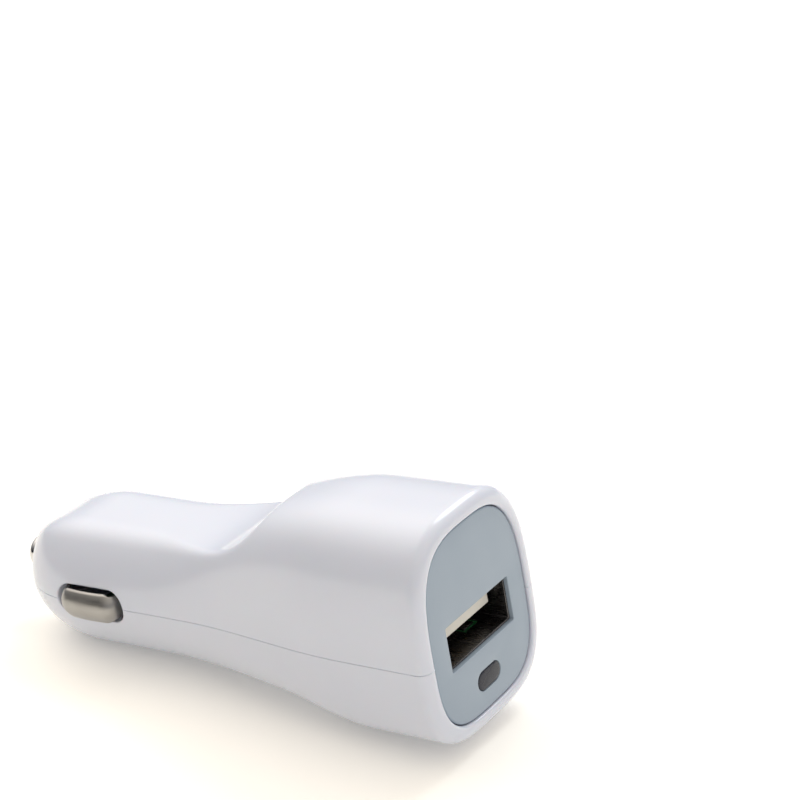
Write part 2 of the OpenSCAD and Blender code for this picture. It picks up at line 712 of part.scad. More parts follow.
// Chip resistor or ceramic capacitor: a block with a metal cap at each end
module chip_part(x, y, below, shade) {
    size = [chip_part_l, small_part_w, 0.55];
    translate([x, y, below ? board_low - size[2] : board_top]) {
        color(shade) translate([-size[0] / 2 + 0.35, -size[1] / 2, 0]) cube([size[0] - 0.7, size[1], size[2]]);
        color(steel) for (side = [-1, 1])
            translate([side > 0 ? size[0] / 2 - 0.35 : -size[0] / 2, -size[1] / 2, 0])
                cube([0.35, size[1], size[2]]);
    }
}
ceramic = [0.72, 0.62, 0.48];
module light_resistor() {
    chip_part(light_bend - 3, 0, true, chip_black);
}
module feedback_resistor_1() {
    chip_part(chip_x, side_part_y, false, chip_black);
}
module feedback_resistor_2() {
    chip_part(chip_x, -side_part_y, false, chip_black);
}
module boost_capacitor() {
    chip_part(diode_x, 0, true, ceramic);
}
module input_filter_capacitor() {
    chip_part(chip_x, 0, true, ceramic);
}

// Round-nosed light behind the window, with its two leads bent up into the board
light_r = 1.5;
light_l = 4.6;
light_flange = 0.35;
light_z = board_low - light_r - light_flange - 0.25;
light_tip = seat_x - 0.9;
light_base = light_tip - light_l;
light_bend = light_base - 1.6;
light_pitch = 2.54;
module indicator_light() {
    lead = 0.5;
    color([0.85, 0.9, 1, 0.6]) translate([light_base, 0, light_z]) rotate([0, 90, 0])
        rotate_extrude($fn = 32) polygon(concat(
            [[0, 0], [light_r + light_flange, 0], [light_r + light_flange, 0.9], [light_r, 0.9]],
            [for (a = [0 : 15 : 90]) [light_r * cos(a), light_l - light_r + light_r * sin(a)]]
        ));
    color(steel) for (side = [-1, 1])
        translate([light_bend - lead / 2, side * light_pitch / 2 - lead / 2, light_z - lead / 2]) {
            cube([light_base - light_bend + lead, lead, lead]);
            cube([lead, lead, board_top - 0.1 - light_z + lead / 2]);
        }
}

upper_shell();
lower_shell();
face_plate();
light_window();
usb_shield();
usb_tongue();
usb_contact(0);  // usb_contact_1
usb_contact(1);  // usb_contact_2
usb_contact(2);  // usb_contact_3
usb_contact(3);  // usb_contact_4
tip_contact();
tip_spring();
tip_terminal();
side_contact_left();
side_contact_right();
circuit_board();
input_capacitor();
output_capacitor();
inductor_core();
inductor_winding();
converter_chip();
flyback_diode();
indicator_light();
light_resistor();
feedback_resistor_1();
feedback_resistor_2();
boost_capacitor();
input_filter_capacitor();
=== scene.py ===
import math

import bmesh
import bpy
import numpy as np
from mathutils import Matrix, Vector


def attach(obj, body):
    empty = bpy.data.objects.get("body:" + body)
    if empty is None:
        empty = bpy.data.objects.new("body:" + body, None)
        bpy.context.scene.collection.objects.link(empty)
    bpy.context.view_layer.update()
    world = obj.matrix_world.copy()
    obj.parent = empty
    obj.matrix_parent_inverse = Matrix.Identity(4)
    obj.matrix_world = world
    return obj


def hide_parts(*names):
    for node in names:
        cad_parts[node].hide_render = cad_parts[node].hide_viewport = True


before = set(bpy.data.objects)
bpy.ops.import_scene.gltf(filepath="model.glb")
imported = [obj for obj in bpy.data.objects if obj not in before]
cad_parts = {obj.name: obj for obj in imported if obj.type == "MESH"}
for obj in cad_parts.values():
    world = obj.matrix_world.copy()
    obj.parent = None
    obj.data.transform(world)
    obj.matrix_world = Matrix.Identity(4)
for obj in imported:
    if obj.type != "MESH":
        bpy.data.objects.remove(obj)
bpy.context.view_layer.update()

scene = bpy.context.scene
MM = 0.001

# Sizes of the part in millimetres, the same as its source has
body_l, plug_w, waist_w, grip_w = 67, 20.6, 19.8, 23.8
hump_h, belly_d, top_flat, low_flat = 15.7, 12.3, 8.3, 9.1
nose_l, nose_flat_r, wall, nose_wall, rim_r = 10.8, 3.3, 1.7, 2.2, 1.5
ramp_start, ramp_l, ramp_power = 25, 18.4, 4.1
edge_soft, rest_soft = 1.4, 0.9
plate_inset, plate_t, plate_sink, seat_w = 2.1, 1.6, 0.3, 0.8
window_l, window_h, window_rise = 4.7, 2.4, 3.8
port_z, port_w, port_h, shield_t, mouth_clear = 0.4, 12.5, 5.12, 0.25, 0.1
tip_d, tip_out, flange_d, flange_t = 4.7, 4, 6.6, 1.2
slot_x, slot_l, slot_h = 14.3, 10.9, 4.4
contact_out, contact_t, contact_crown, tail_h = 1.2, 0.35, 0.9, 2.2
waist_x, grip_x, belly_start, belly_end, hump_start, hump_end = 30, 55, 42.4, 55.7, 22, 53
nose_power, grip_power = 1.8, 3.15
slide_clear, seat_clear, slot_clear = 0.15, 0.12, 0.25
round_d = plug_w / 2
belly_cut = belly_d + 0.4
crest_rise = hump_h - top_flat - 0.15
seat_x = body_l - plate_sink - plate_t
lip_x = seat_x - 1.2
plate_face = body_l - plate_sink
window_z = window_rise - (belly_d - plate_inset)
slot_end = slot_x + slot_l / 2
anchor_x = slot_end + 6
anchor_y = 7.5
anchor_l = 1  # the leaf and its foot go on this far past the anchor
board_top = port_z - port_h / 2 - shield_t
board_front_w = 12.8

bore_r = tip_d / 2 + slide_clear
flange_gap = 0.05
flange_x = nose_wall + flange_gap
spring_x = flange_x + flange_t
soft_lead = 6  # the top's long edges get sharper from this far before the ramp
soft_l = 14  # and over this length
lining_ring = 1.2  # the lining's ring in the nose is wider by this than the outer one
guide_wall = 0.4  # wall of the tip's guide in the nose

# Finish of the edges, which the source leaves sharp
seam_r = 0.08  # each half is rounded over by this at the seam
seam_gap = 0.01
slot_r = 0.25  # round-over of the slot's edge
lip_r = 0.35  # round-over of the rim's inner edge
bore_edge_r = 0.25  # round-over of the tip's bore
plate_edge_r, mouth_edge_r, window_edge_r = 0.25, 0.1, 0.08
mouth_corner_r = 0.22
foot_edge_r = 0.06

CIRCLE = 2  # superellipse power of a circle
TRACE = 0.01  # a length too small to see, where nothing would make a fold


def clamp(t):
    return np.clip(t, 0, 1)


def ease(t):
    return clamp(t) ** 2 * (3 - 2 * clamp(t))


def mix(a, b, t):
    return a + (b - a) * t


def soft_min(a, b, k):
    h = clamp(0.5 + 0.5 * (b - a) / k)
    return mix(b, a, h) - k * h * (1 - h)


def half_width(x):
    if x < waist_x:
        return mix(plug_w, waist_w, ease(x / waist_x)) / 2
    return mix(waist_w, grip_w, ease((x - waist_x) / (grip_x - waist_x))) / 2


def section(x, inset, top):
    """Half width, uncut height, cut height, power and softness of one half of the housing at x."""
    power = mix(nose_power, grip_power, ease((x - hump_start) / (grip_x - hump_start)))
    if top:
        high = mix(round_d, hump_h, ease((x - hump_start) / (hump_end - hump_start)))
        cut = top_flat + crest_rise * (max(0, x - ramp_start) / ramp_l) ** ramp_power
        soft = mix(edge_soft, rest_soft, ease((x - ramp_start + soft_lead) / soft_l))
    else:
        share = ease((x - belly_start) / (belly_end - belly_start))
        high = mix(round_d, belly_d, share)
        cut = mix(low_flat, belly_cut, share)
        soft = edge_soft
    return np.array([half_width(x) - inset, high - inset, cut - inset, power, soft])


def nose_section(x, inset, top):
    """The nose closes on a flat ring, and so does the lining behind it."""
    front = nose_wall if inset > 0 else 0
    ring = nose_flat_r + (lining_ring if inset > 0 else 0)
    length = nose_l - front
    share = math.sqrt(max(0, 1 - ((nose_l - x) / length) ** 2))
    return closing(section(nose_l, inset, top), ring, share)


def closing(s, ring, share):
    """A section shrunk to a circle with the radius ring, as share falls from 1 to 0."""
    width, high, cut, power, soft = s
    return np.array([mix(ring, width, share), mix(ring, high, share), mix(ring, cut, share),
                     mix(CIRCLE, power, share), soft * share + TRACE])


def section_at(x, inset, top):
    """The section at x, in the nose or behind it."""
    return nose_section(x, inset, top) if x < nose_l else section(x, inset, top)


# Half of a section as points with even steps, and closer ones at the seam
EDGE_STEPS = [0, 0.02, 0.05, 0.09, 0.14, 0.2, 0.3, 0.45, 0.7]
EVEN_STEPS = 46
FINE = 500
RING = 2 * (len(EDGE_STEPS) + EVEN_STEPS) - 1


def quarter_curve(s, low_z):
    """Points [y, z] from the seam, or the slot's edge at low_z, up to the middle of the section."""
    angle = math.pi / 2 * np.sin(np.linspace(0, math.pi / 2, FINE)) ** 2
    y = s[0] * np.cos(angle).clip(1e-9) ** (2 / s[3])
    z = soft_min(s[1] * np.sin(angle).clip(1e-9) ** (2 / s[3]), s[2], s[4])
    y[-1] = 0
    way = np.concatenate([[0], np.cumsum(np.hypot(np.diff(y), np.diff(z)))])
    start = np.interp(low_z, z, way)
    near = start + np.array(EDGE_STEPS)
    even = np.linspace(near[-1], way[-1], EVEN_STEPS + 1)[1:]
    at = np.concatenate([near, even])
    return np.stack([np.interp(at, way, y), np.interp(at, way, z)], 1)


def half_ring(x, s, top, low_z=0.0):
    """Points [x, y, z] over one half, from the +Y seam to the -Y seam."""
    quarter = quarter_curve(s, low_z)
    ring = np.concatenate([quarter, quarter[-2::-1] * [-1, 1]])
    up = 1 if top else -1
    return np.stack([np.full(len(ring), x), ring[:, 0], up * (ring[:, 1] + seam_gap)], 1)


def slot_gap(x, z):
    """Distance of a point on the housing's side from the slot's outline, negative inside it."""
    along = np.maximum(np.abs(x - slot_x) - (slot_l - slot_h) / 2, 0)
    return np.hypot(along, z) - slot_h / 2


def slot_edge(x):
    """Height of the slot's edge at x, or 0 outside the slot."""
    along = max(abs(x - slot_x) - (slot_l - slot_h) / 2, 0)
    return math.sqrt(max(0, (slot_h / 2) ** 2 - along ** 2))


def round_over(gap, r):
    """How far a surface drops at a gap from its edge, where the edge has a radius r."""
    inside = np.clip(r - gap, 0, r)
    return r - np.sqrt(r ** 2 - inside ** 2)


def soften_edges(points):
    """Rounds the outer skin over at the seam and at the slot."""
    x, y, z = points.T
    at_slot = round_over(np.maximum(slot_gap(x, z), 0), slot_r)
    at_seam = round_over(np.abs(z) - seam_gap, seam_r)
    off_middle = np.abs(y) > 1
    drop = np.where(off_middle, np.maximum(at_slot, at_seam), 0)
    return np.stack([x, y - np.sign(y) * drop, z], 1)


def spread(start, end, step):
    """Even places from start to end, about a step apart."""
    return list(np.linspace(start, end, max(2, round((end - start) / step) + 1)))


nose_join = 8  # from here to the lip, the outside and the inside have their sections at the same x
ramp_back = 50  # behind this the sections change slowly
past_slot = 0.6  # from the slot's end to the first even station behind it
slot_step, nose_step, ramp_step, grip_step, rim_step = 0.5, 0.4, 0.42, 0.8, 0.4
nose_flat_share = 0.7  # the station on the nose's flat ring, from the bore to the ring's outside


def middle_stations():
    """Places along the housing, closer together at the slot's ends and on the ramp."""
    r = slot_h / 2
    front, back = slot_x - slot_l / 2, slot_end
    turn = [r * (1 - math.cos(math.radians(a))) for a in range(0, 91, 9)]
    near = [-e for e in EDGE_STEPS[1:-1]]
    places = [front + e for e in near + turn] + [back - e for e in near + turn]
    places += spread(nose_join, front + near[-1], nose_step)[:-1]
    places += spread(front + r, back - r, slot_step)
    places += spread(back + past_slot, ramp_back, ramp_step)
    places += spread(ramp_back + slot_step, lip_x, grip_step)
    return sorted(set(round(float(p), 4) for p in places))


def outer_nose(top):
    """Sections from the tip's bore over its rounded edge and the flat ring, and round the nose."""
    widest = section(nose_l, 0, top)
    places = [(nose_wall, closing(widest, bore_r, 0)), (bore_edge_r, closing(widest, bore_r, 0))]
    for a in range(18, 91, 18):
        turn = math.radians(a)
        r = bore_r + bore_edge_r * (1 - math.cos(turn))
        places.append((bore_edge_r * (1 - math.sin(turn)), closing(widest, r, 0)))
    places.append((0, closing(widest, mix(bore_r, nose_flat_r, nose_flat_share), 0)))
    last = math.acos(1 - nose_join / nose_l)
    for turn in np.linspace(0, last, 26)[:-1]:
        x = nose_l * (1 - math.cos(turn))
        places.append((x, nose_section(x, 0, top)))
    return places


def inner_nose(top):
    """Sections of the lining, from the tip's guide back round the nose."""
    places = [(nose_wall, closing(section(nose_l, wall, top), bore_r + guide_wall, 0))]
    length = nose_l - nose_wall
    last = math.acos(1 - (nose_join - nose_wall) / length)
    for turn in np.linspace(0, last, 14)[:-1]:
        x = nose_wall + length * (1 - math.cos(turn))
        places.append((x, nose_section(x, wall, top)))
    return places


def outer_rim(top):
    """From the lip forward over the rounded rim, and down the wall of the plate's seat."""
    places = [(x, section(x, 0, top)) for x in spread(lip_x, body_l - rim_r, rim_step)[1:]]
    for turn in np.linspace(0, math.pi / 2, 13)[1:]:
        x = body_l - rim_r * (1 - math.sin(turn))
        places.append((x, section(body_l, rim_r * (1 - math.cos(turn)), top)))
    edge = plate_inset - seat_clear - lip_r
    for turn in np.linspace(0, math.pi / 2, 8):
        x = body_l - lip_r * (1 - math.cos(turn))
        places.append((x, section(body_l, edge + lip_r * math.sin(turn), top)))
    places.append((seat_x, section(body_l, plate_inset - seat_clear, top)))
    return places


def inner_lip(top):
    """The opening behind the plate, whose front end is the ledge that the plate sits on."""
    behind = section(body_l, plate_inset + seat_w, top)
    return [(lip_x + TRACE, behind), (seat_x, behind)]


def grid_faces(first, count, ring):
    """Quads between each of count rings and the next one."""
    return [(a + k, a + ring + k, a + ring + k + 1, a + k + 1)
            for a in range(first, first + (count - 1) * ring, ring) for k in range(ring - 1)]


def seam_faces(k, base, outer_n, inner_n, nose_n, lining_n, middle_n):
    """The seam's faces on one side, between the skin and the lining, from the nose to the rim."""
    outer = [i * RING + k for i in range(outer_n)]
    inner = [base + i * RING + k for i in range(inner_n)]
    faces = [outer[:nose_n + 1] + inner[lining_n::-1]]
    for i in range(middle_n - 1):
        a, b = nose_n + i, lining_n + i
        faces.append((outer[a], outer[a + 1], inner[b + 1], inner[b]))
    last_a, last_b = nose_n + middle_n - 1, lining_n + middle_n - 1
    return faces + [outer[last_a:] + inner[:last_b - 1:-1]]


def housing_half(top):
    """One moulded half of the housing as a closed mesh, with its wall, rim and seam faces."""
    middle = middle_stations()
    nose, rim = outer_nose(top), outer_rim(top)
    inner, lip = inner_nose(top), inner_lip(top)
    outside = [half_ring(x, s, top) for x, s in nose]
    outside += [half_ring(x, section_at(x, 0, top), top, slot_edge(x)) for x in middle]
    outside += [half_ring(x, s, top) for x, s in rim]
    inside = [half_ring(x, s, top) for x, s in inner]
    inside += [half_ring(x, section_at(x, wall, top), top, slot_edge(x)) for x in middle]
    inside += [half_ring(x, s, top) for x, s in lip]
    skin = soften_edges(np.concatenate(outside))
    points = np.concatenate([skin, np.concatenate(inside)])
    out_n, in_n = len(outside), len(inside)
    base = out_n * RING
    faces = grid_faces(0, out_n, RING) + grid_faces(base, in_n, RING)
    faces += [(k, k + 1, base + k + 1, base + k) for k in range(RING - 1)]
    end, in_end = (out_n - 1) * RING, base + (in_n - 1) * RING
    faces += [(end + k, in_end + k, in_end + k + 1, end + k + 1) for k in range(RING - 1)]
    for k in (0, RING - 1):
        faces += seam_faces(k, base, out_n, in_n, len(nose), len(inner), len(middle))
    return points, faces


def new_piece(name, points, faces, material, crease=35):
    """A mesh object from millimetre points, smooth apart from edges over crease degrees."""
    mesh = bpy.data.meshes.new(name)
    places = [tuple(float(c) * MM for c in p) for p in points]
    mesh.from_pydata(places, [], [tuple(f) for f in faces])
    piece = bpy.data.objects.new(name, mesh)
    scene.collection.objects.link(piece)
    mesh.materials.append(material)
    finish_mesh(mesh, crease)
    return piece


def finish_mesh(mesh, crease):
    """Joins doubled points, turns all faces outwards and marks the edges over crease degrees."""
    bm = bmesh.new()
    bm.from_mesh(mesh)
    bmesh.ops.remove_doubles(bm, verts=bm.verts, dist=1e-8)
    bmesh.ops.recalc_face_normals(bm, faces=bm.faces)
    for face in bm.faces:
        face.smooth = True
    for edge in bm.edges:
        edge.smooth = len(edge.link_faces) == 2 and edge.calc_face_angle() < math.radians(crease)
    bm.to_mesh(mesh)
    bm.free()


def place_piece(piece, body, node):
    """Puts a piece on its body, in the place of a node's solid."""
    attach(piece, body)
    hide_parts(node)


# Materials. Noise scales are to a metre, and the depths of bumps are in metres.
DRIFT, GLOSS_DRIFT, STAIN = 60, 240, 180
COAT_ROUGHNESS = 0.06


def new_material(name):
    """A material with its node tree and its principled shader."""
    material = bpy.data.materials.new(name)
    material.use_nodes = True
    tree = material.node_tree
    shader = next(n for n in tree.nodes if n.type == "BSDF_PRINCIPLED")
    return material, tree, shader


def add_node(tree, kind, **values):
    """A node with its settings, or the plain values of its inputs."""
    node = tree.nodes.new(kind)
    for key, value in values.items():
        if hasattr(node, key):
            setattr(node, key, value)
        else:
            node.inputs[key.replace("_", " ")].default_value = value
    return node


def object_coordinates(tree, stretch=(1, 1, 1)):
    place = add_node(tree, "ShaderNodeTexCoord")
    mapping = add_node(tree, "ShaderNodeMapping")
    mapping.inputs["Scale"].default_value = stretch
    tree.links.new(place.outputs["Object"], mapping.inputs["Vector"])
    return mapping.outputs["Vector"]


def noise(tree, vector, scale, detail=2.0):
    node = add_node(tree, "ShaderNodeTexNoise", Scale=scale, Detail=detail)
    tree.links.new(vector, node.inputs["Vector"])
    return node.outputs["Fac"]


def spread_value(tree, factor, low, high):
    """Turns a noise of about 0.3 to 0.7 into a value from low to high."""
    node = add_node(tree, "ShaderNodeMapRange")
    node.inputs["From Min"].default_value = 0.3
    node.inputs["From Max"].default_value = 0.7
    node.inputs["To Min"].default_value = low
    node.inputs["To Max"].default_value = high
    tree.links.new(factor, node.inputs["Value"])
    return node.outputs["Result"]


def blend_colours(tree, factor, first, second):
    node = add_node(tree, "ShaderNodeMix", data_type="RGBA")
    colours = [s for s in node.inputs if s.type == "RGBA"]
    colours[0].default_value = (*first, 1)
    colours[1].default_value = (*second, 1)
    tree.links.new(factor, node.inputs["Factor"])
    return next(s for s in node.outputs if s.type == "RGBA")


def add_bump(tree, shader, height, depth, strength=1.0):
    """Bump whose height is in metres."""
    node = add_node(tree, "ShaderNodeBump", Strength=strength, Distance=depth)
    tree.links.new(height, node.inputs["Height"])
    tree.links.new(node.outputs["Normal"], shader.inputs["Normal"])


def moulded_plastic(name, colour, other, roughness, grain_scale, grain_depth, coat=0.0):
    """Moulded plastic: slow colour drift, roughness that varies a little, and a fine grain."""
    material, tree, shader = new_material(name)
    where = object_coordinates(tree)
    drift = spread_value(tree, noise(tree, where, DRIFT), 0, 1)
    tree.links.new(blend_colours(tree, drift, colour, other), shader.inputs["Base Color"])
    low, high = roughness
    gloss = spread_value(tree, noise(tree, where, GLOSS_DRIFT), low, high)
    tree.links.new(gloss, shader.inputs["Roughness"])
    add_bump(tree, shader, noise(tree, where, grain_scale, 3), grain_depth)
    shader.inputs["Coat Weight"].default_value = coat
    shader.inputs["Coat Roughness"].default_value = COAT_ROUGHNESS
    return material


def plated_metal(name, colour, other, roughness, stretch, scale, depth):
    """Plated or rolled metal: fine lines along the way it was drawn, and a faint stain."""
    material, tree, shader = new_material(name)
    where = object_coordinates(tree)
    lines = noise(tree, object_coordinates(tree, stretch), scale, 4)
    stain = spread_value(tree, noise(tree, where, STAIN), 0, 1)
    tree.links.new(blend_colours(tree, stain, colour, other), shader.inputs["Base Color"])
    low, high = roughness
    tree.links.new(spread_value(tree, lines, low, high), shader.inputs["Roughness"])
    shader.inputs["Metallic"].default_value = 1
    add_bump(tree, shader, lines, depth)
    return material


def set_inputs(material, values):
    """Sets plain values on a material's shader."""
    shader = material.node_tree.nodes["Principled BSDF"]
    for name, value in values.items():
        shader.inputs[name].default_value = value


# Each has two colours that it drifts between, a range of roughness, and its grain's scale and depth
white_plastic = moulded_plastic(
    "white_plastic", (0.64, 0.672, 0.765), (0.625, 0.657, 0.75), (0.2, 0.27), 900, 4e-6, coat=0.25)
set_inputs(white_plastic, {"Subsurface Weight": 0.08, "Subsurface Scale": 0.001})
grey_plastic = moulded_plastic(
    "grey_plastic", (0.315, 0.382, 0.46), (0.3, 0.367, 0.445), (0.38, 0.5), 3200, 9e-6)
smoke_plastic = moulded_plastic(
    "smoke_plastic", (0.012, 0.015, 0.027), (0.02, 0.023, 0.037), (0.24, 0.34), 1500, 4e-6)
set_inputs(smoke_plastic, {"Specular IOR Level": 0.35})
cream_plastic = moulded_plastic(
    "cream_plastic", (0.74, 0.72, 0.66), (0.7, 0.68, 0.62), (0.35, 0.5), 2000, 5e-6)
black_plastic = moulded_plastic(
    "black_plastic", (0.02, 0.02, 0.022), (0.035, 0.035, 0.037), (0.4, 0.6), 2600, 8e-6)
green_mask = moulded_plastic(
    "green_mask", (0.02, 0.12, 0.045), (0.03, 0.16, 0.06), (0.25, 0.4), 1200, 5e-6, coat=0.3)
ferrite = moulded_plastic(
    "ferrite", (0.03, 0.03, 0.034), (0.05, 0.05, 0.053), (0.5, 0.7), 2200, 1e-5)
ceramic = moulded_plastic(
    "ceramic", (0.42, 0.31, 0.2), (0.36, 0.26, 0.17), (0.4, 0.55), 2400, 5e-6)
clear_epoxy = moulded_plastic(
    "clear_epoxy", (0.72, 0.78, 0.86), (0.68, 0.74, 0.82), (0.08, 0.14), 700, 2e-6, coat=0.4)

# Each has two colours, a range of roughness, the stretch of its lines, and their scale and depth
# The shield is steel, but its colour is much darker than steel: painted shade for the dim inside of
# the port
shield_steel = plated_metal(
    "shield_steel", (0.14, 0.135, 0.135), (0.08, 0.078, 0.08), (0.2, 0.38), (1, 8, 8), 500, 3e-6)
nickel = plated_metal(
    "nickel", (0.4, 0.39, 0.375), (0.33, 0.32, 0.305), (0.3, 0.42), (1, 1, 12), 420, 3e-6)
chrome = plated_metal(
    "chrome", (0.62, 0.615, 0.61), (0.56, 0.555, 0.55), (0.06, 0.14), (10, 1, 1), 420, 2e-6)
spring_wire = plated_metal(
    "spring_wire", (0.6, 0.6, 0.6), (0.5, 0.5, 0.5), (0.18, 0.3), (6, 1, 1), 800, 3e-6)
gold = plated_metal(
    "gold", (0.85, 0.62, 0.28), (0.78, 0.55, 0.24), (0.18, 0.3), (1, 8, 8), 700, 2e-6)
aluminium = plated_metal(
    "aluminium", (0.74, 0.75, 0.77), (0.66, 0.67, 0.69), (0.25, 0.4), (1, 1, 10), 600, 3e-6)
copper = plated_metal(
    "copper", (0.62, 0.26, 0.1), (0.52, 0.2, 0.07), (0.2, 0.34), (1, 1, 10), 900, 3e-6)

# The housing
for half, top in (("upper", True), ("lower", False)):
    skin = new_piece(half + "_housing", *housing_half(top), white_plastic)
    place_piece(skin, "housing", half + "_shell")


# Closed outlines [y, z] in the plane of the face
def face_outline(inset):
    top, low = section(body_l, inset, True), section(body_l, inset, False)
    over = np.concatenate([quarter_curve(top, 0), quarter_curve(top, 0)[-2::-1] * [-1, 1]])
    under = np.concatenate([quarter_curve(low, 0), quarter_curve(low, 0)[-2::-1] * [-1, 1]])
    return np.concatenate([over, under[-2:0:-1] * [1, -1]])


def stadium_outline(w, h, z, steps=24):
    r = h / 2
    turns = np.linspace(-math.pi / 2, math.pi / 2, steps)
    right = [(w / 2 - r + r * math.cos(t), z + r * math.sin(t)) for t in turns]
    return np.array(right + [(-y, 2 * z - q) for y, q in right])


def box_outline(w, h, z, r, steps=6):
    out, up = w / 2 - r, h / 2 - r
    corners = [(out, up, 0), (-out, up, 90), (-out, -up, 180), (out, -up, 270)]
    return np.array([(y + r * math.cos(math.radians(t)), z + q + r * math.sin(math.radians(t)))
                     for y, q, a in corners for t in np.linspace(a, a + 90, steps)])


def loop_at(x, outline):
    return [(x, y, z) for y, z in outline]


def wall_between(first, second, count):
    """Quads between two closed loops of count points."""
    return [(first + k, first + (k + 1) % count, second + (k + 1) % count, second + k)
            for k in range(count)]


def plate_with_holes(name, loops_of_outer, loops_of_holes, material, crease=35):
    """A plate along X. Each list holds one outline's loops from front to back. Holes go through."""
    points, faces, front, back = [], [], [], []
    for loops in [loops_of_outer] + loops_of_holes:
        starts = []
        for loop in loops:
            starts.append(len(points))
            points += loop
        count = len(loops[0])
        for first, second in zip(starts, starts[1:]):
            faces += wall_between(first, second, count)
        front.append((starts[0], count))
        back.append((starts[-1], count))
    mesh = bpy.data.meshes.new(name)
    mesh.from_pydata([tuple(float(c) * MM for c in p) for p in points], [], faces)
    bm = bmesh.new()
    bm.from_mesh(mesh)
    bm.verts.ensure_lookup_table()
    for group in (front, back):
        rim = [bm.edges.get((bm.verts[a + k], bm.verts[a + (k + 1) % n]))
               for a, n in group for k in range(n)]
        bmesh.ops.triangle_fill(bm, edges=rim, use_beauty=True, use_dissolve=False)
    bm.to_mesh(mesh)
    bm.free()
    piece = bpy.data.objects.new(name, mesh)
    scene.collection.objects.link(piece)
    mesh.materials.append(material)
    finish_mesh(mesh, crease)
    return piece


def rounded_front(face, back, r, outline):
    """Loops of a solid plate from its front to its back, the front edge with a radius r."""
    turns = [math.radians(a) for a in (0, 22, 45, 67, 90)]
    front = [loop_at(face - r * (1 - math.cos(t)), outline(r - r * math.sin(t))) for t in turns]
    return front + [loop_at(back, outline(0))]


# The face plate, with the port's mouth and the window's hole
mouth_w, mouth_h = port_w + 2 * shield_t + mouth_clear, port_h + 2 * shield_t + mouth_clear
window_clear = 0.1
window_hole_w, window_hole_h = window_l + window_clear, window_h + window_clear


def plate_outline(grow):
    return face_outline(plate_inset + grow)


def mouth_outline(grow):
    return box_outline(mouth_w + 2 * grow, mouth_h + 2 * grow, port_z, mouth_corner_r)


def window_hole_outline(grow):
    return stadium_outline(window_hole_w + 2 * grow, window_hole_h + 2 * grow, window_z)


plate = plate_with_holes(
    "grey_plate",
    rounded_front(plate_face, seat_x, plate_edge_r, plate_outline),
    [rounded_front(plate_face, seat_x, mouth_edge_r, mouth_outline),
     rounded_front(plate_face, seat_x, window_edge_r, window_hole_outline)],
    grey_plastic)
place_piece(plate, "housing", "face_plate")

# The window: a light guide with a crowned front and a flange behind the plate
window_sink, crown_h, window_r, window_fit = 0.02, 0.1, 0.15, 0.02
flange_out_y, flange_out_z, flange_back = 1, 0.9, 0.8


def window_loop(x, out_y, out_z):
    return loop_at(x, stadium_outline(window_l + out_y, window_h + out_z, window_z))


def window_loops():
    face = plate_face - window_sink
    crown = []
    for f in (0.05, 0.3, 0.55, 0.75, 0.88):
        outline = stadium_outline(window_l * f + window_fit, window_h * f + window_fit, window_z)
        crown.append(loop_at(face + crown_h * (1 - f * f), outline))
    edge = []
    for t in np.linspace(0.1, math.pi / 2, 5):
        out = -2 * window_r * (1 - math.sin(t))
        edge.append(window_loop(face - window_r * (1 - math.cos(t)), out, out))
    behind = seat_x - window_fit
    flange = [window_loop(behind, 0, 0), window_loop(behind, flange_out_y, flange_out_z),
              window_loop(seat_x - flange_back, flange_out_y, flange_out_z)]
    return crown + edge + flange


window = plate_with_holes("smoke_window", window_loops(), [], smoke_plastic)
place_piece(window, "housing", "light_window")


# The port's pieces, which keep their solids with softer edges
shield_edge_r, tongue_edge_r, lead_edge_r = 0.08, 0.12, 0.04
flat_angle, sharp_angle = math.radians(1), math.radians(40)


def softened_copy(node, name, radius, material):
    """A copy of a node's solid with its sharp edges rounded."""
    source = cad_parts[node]
    mesh = source.data.copy()
    mesh.name = name
    piece = bpy.data.objects.new(name, mesh)
    scene.collection.objects.link(piece)
    mesh.materials.clear()
    mesh.materials.append(material)
    bm = bmesh.new()
    bm.from_mesh(mesh)
    bmesh.ops.remove_doubles(bm, verts=bm.verts, dist=1e-7)
    bmesh.ops.dissolve_limit(bm, angle_limit=flat_angle, verts=bm.verts, edges=bm.edges)
    sharp = [e for e in bm.edges if len(e.link_faces) == 2 and e.calc_face_angle() > sharp_angle]
    bmesh.ops.bevel(bm, geom=sharp, offset=radius * MM, segments=3, profile=0.5, affect="EDGES",
                    clamp_overlap=True)
    bm.to_mesh(mesh)
    bm.free()
    finish_mesh(mesh, 50)
    return piece


port_pieces = [("usb_shield", shield_edge_r, "shield_steel", shield_steel),
               ("usb_tongue", tongue_edge_r, "tongue_cream", cream_plastic)]
port_pieces += [(f"usb_contact_{i}", lead_edge_r, "contact_gold", gold) for i in (1, 2, 3, 4)]
for node, radius, slot, material in port_pieces:
    place_piece(softened_copy(node, node + "_detail", radius, material), "housing", node)


# The tip, turned from one bar
def lathe(name, profile, material, steps=96, crease=35):
    """Turns a profile of [radius, x] about the plug's axis."""
    points = [(x, r * math.cos(2 * math.pi * k / steps), r * math.sin(2 * math.pi * k / steps))
              for r, x in profile for k in range(steps)]
    faces = []
    for i in range(len(profile) - 1):
        faces += wall_between(i * steps, (i + 1) * steps, steps)
    faces.append(list(range(steps)))
    faces.append(list(range((len(profile) - 1) * steps, len(profile) * steps)))
    return new_piece(name, points, faces, material, crease)


